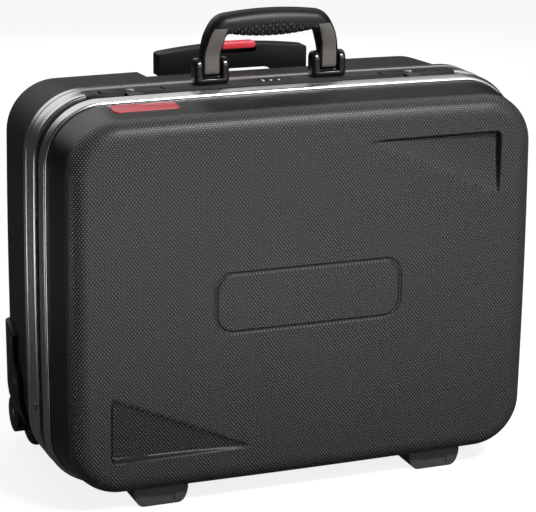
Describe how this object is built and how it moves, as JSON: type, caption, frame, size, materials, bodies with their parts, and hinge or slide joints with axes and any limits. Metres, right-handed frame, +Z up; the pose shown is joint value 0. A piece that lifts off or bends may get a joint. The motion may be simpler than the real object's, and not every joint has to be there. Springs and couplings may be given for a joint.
{
  "type": "rolling tool case",
  "caption": "Hard-shell tool case with aluminium frames, bottom-hinged lid, latches, folding carry handle, telescopic pull handle and rear wheels.",
  "frame": {"origin": "centre of the bounding box on the floor, the case closed and standing upright", "axes": "+X to the case's right seen from the lid, +Y from the lid towards the base and wheels, +Z up"},
  "size_m": [0.512, 0.261, 0.4765],
  "materials": {
    "shell_plastic": "grained black ABS",
    "satin_plastic": "satin black moulding",
    "lock_plastic": "dark grey satin",
    "seal_rubber": "matt",
    "frame_aluminium": "satin anodised, brushed along its length",
    "tube_aluminium": "satin anodised",
    "steel": "plated",
    "inlay_grey": "rough grey",
    "signal_red": "satin",
    "wheel_tyre": "matt",
    "wheel_hub": "satin"
  },
  "bodies": {
    "root": {"rear_shell": "shell_plastic", "rear_frame": "frame_aluminium", "rear_seal": "seal_rubber", "lock_strip": "lock_plastic", "dial_panel": "lock_plastic", "dial_shaft": "steel", "handle_bracket_left": "satin_plastic", "handle_bracket_right": "satin_plastic", "handle_pin_left": "steel", "handle_pin_right": "steel", "wheel_housing_left": "satin_plastic", "wheel_housing_right": "satin_plastic", "wheel_axle_left": "steel", "wheel_axle_right": "steel", "housing_screw_left_1": "steel", "housing_screw_left_2": "steel", "housing_screw_right_1": "steel", "housing_screw_right_2": "steel", "telescope_bezel": "satin_plastic", "telescope_cover": "satin_plastic", "outer_tube_left": "tube_aluminium", "outer_tube_right": "tube_aluminium", "base_hinge_leaf_left": "steel", "base_hinge_leaf_right": "steel", "hinge_pin_left": "steel", "hinge_pin_right": "steel", "stay_rivet_left": "steel", "stay_rivet_right": "steel"},
    "lid": {"front_shell": "shell_plastic", "front_frame": "frame_aluminium", "front_seal": "seal_rubber", "badge": "signal_red", "foot_left": "satin_plastic", "foot_right": "satin_plastic", "lid_hinge_leaf_left": "steel", "lid_hinge_leaf_right": "steel"},
    "carry_handle": {"carry_handle": "satin_plastic", "handle_inlay_left": "inlay_grey", "handle_inlay_right": "inlay_grey"},
    "latch_left": {"latch_left": "lock_plastic"},
    "latch_right": {"latch_right": "lock_plastic"},
    "key_cylinder_left": {"key_cylinder_left": "steel"},
    "key_cylinder_right": {"key_cylinder_right": "steel"},
    "number_wheel_1": {"number_wheel_1": "satin_plastic"},
    "number_wheel_2": {"number_wheel_2": "satin_plastic"},
    "number_wheel_3": {"number_wheel_3": "satin_plastic"},
    "telescope_middle": {"middle_tube_left": "tube_aluminium", "middle_tube_right": "tube_aluminium"},
    "pull_handle": {"inner_tube_left": "tube_aluminium", "inner_tube_right": "tube_aluminium", "pull_grip": "satin_plastic"},
    "release_button": {"release_button": "signal_red"},
    "wheel_left": {"wheel_tyre_left": "wheel_tyre", "wheel_hub_left": "wheel_hub"},
    "wheel_right": {"wheel_tyre_right": "wheel_tyre", "wheel_hub_right": "wheel_hub"},
    "base_stay_left": {"base_stay_link_left": "steel"},
    "base_stay_right": {"base_stay_link_right": "steel"},
    "lid_stay_left": {"lid_stay_link_left": "steel"},
    "lid_stay_right": {"lid_stay_link_right": "steel"}
  },
  "joints": [
    {"name": "lid_hinge", "type": "hinge", "parent": "root", "child": "lid", "pos_m": [0, -0.0495, 0.0062], "axis": [1, 0, 0], "range_deg": [0, 90]},
    {"name": "carry_handle_pivot", "type": "hinge", "parent": "root", "child": "carry_handle", "pos_m": [-0.006, -0.0295, 0.4175], "axis": [1, 0, 0], "range_deg": [-80, 80]},
    {"name": "latch_left_pivot", "type": "hinge", "parent": "root", "child": "latch_left", "pos_m": [-0.152, -0.0269, 0.40098], "axis": [-1, 0, 0], "range_deg": [0, 50]},
    {"name": "latch_right_pivot", "type": "hinge", "parent": "root", "child": "latch_right", "pos_m": [0.146, -0.0269, 0.40102], "axis": [-1, 0, 0], "range_deg": [0, 50]},
    {"name": "key_left_turn", "type": "hinge", "parent": "latch_left", "child": "key_cylinder_left", "pos_m": [-0.152, -0.0332, 0.4], "axis": [0, 0, 1], "range_deg": [0, 90]},
    {"name": "key_right_turn", "type": "hinge", "parent": "latch_right", "child": "key_cylinder_right", "pos_m": [0.146, -0.0332, 0.4], "axis": [0, 0, 1], "range_deg": [0, 90]},
    {"name": "number_wheel_1_turn", "type": "hinge", "parent": "root", "child": "number_wheel_1", "pos_m": [-0.0134, -0.0316, 0.398], "axis": [1, 0, 0], "continuous": true},
    {"name": "number_wheel_2_turn", "type": "hinge", "parent": "root", "child": "number_wheel_2", "pos_m": [-0.005, -0.0316, 0.398], "axis": [1, 0, 0], "continuous": true},
    {"name": "number_wheel_3_turn", "type": "hinge", "parent": "root", "child": "number_wheel_3", "pos_m": [0.0034, -0.0316, 0.398], "axis": [1, 0, 0], "continuous": true},
    {"name": "telescope_lower_slide", "type": "slide", "parent": "root", "child": "telescope_middle", "axis": [0, 0, 1], "range_m": [0, 0.26]},
    {"name": "telescope_upper_slide", "type": "slide", "parent": "telescope_middle", "child": "pull_handle", "axis": [0, 0, 1], "range_m": [0, 0.26]},
    {"name": "release_button_press", "type": "slide", "parent": "pull_handle", "child": "release_button", "axis": [0, 0, -1], "range_m": [0, 0.004], "stiffness_N_per_m": 500, "springref_m": -0.002},
    {"name": "wheel_left_spin", "type": "hinge", "parent": "root", "child": "wheel_left", "pos_m": [-0.2135, 0.0945, 0.036], "axis": [1, 0, 0], "continuous": true},
    {"name": "wheel_right_spin", "type": "hinge", "parent": "root", "child": "wheel_right", "pos_m": [0.2135, 0.0945, 0.036], "axis": [1, 0, 0], "continuous": true},
    {"name": "base_stay_left_pivot", "type": "hinge", "parent": "root", "child": "base_stay_left", "pos_m": [-0.241, -0.0355, 0.089], "axis": [1, 0, 0], "range_deg": [0, 124]},
    {"name": "base_stay_right_pivot", "type": "hinge", "parent": "root", "child": "base_stay_right", "pos_m": [0.241, -0.0355, 0.089], "axis": [1, 0, 0], "range_deg": [0, 124]},
    {"name": "lid_stay_left_pivot", "type": "hinge", "parent": "lid", "child": "lid_stay_left", "pos_m": [-0.238, -0.0635, 0.089], "axis": [1, 0, 0], "range_deg": [-124, 0]},
    {"name": "lid_stay_right_pivot", "type": "hinge", "parent": "lid", "child": "lid_stay_right", "pos_m": [0.238, -0.0635, 0.089], "axis": [1, 0, 0], "range_deg": [-124, 0]}
  ],
  "couplings": [
    {"joint": "base_stay_left_pivot", "follows": "lid_hinge", "ratio": 1.3689},
    {"joint": "base_stay_right_pivot", "follows": "lid_hinge", "ratio": 1.3689},
    {"joint": "lid_stay_left_pivot", "follows": "lid_hinge", "ratio": -1.3689},
    {"joint": "lid_stay_right_pivot", "follows": "lid_hinge", "ratio": -1.3689}
  ]
}
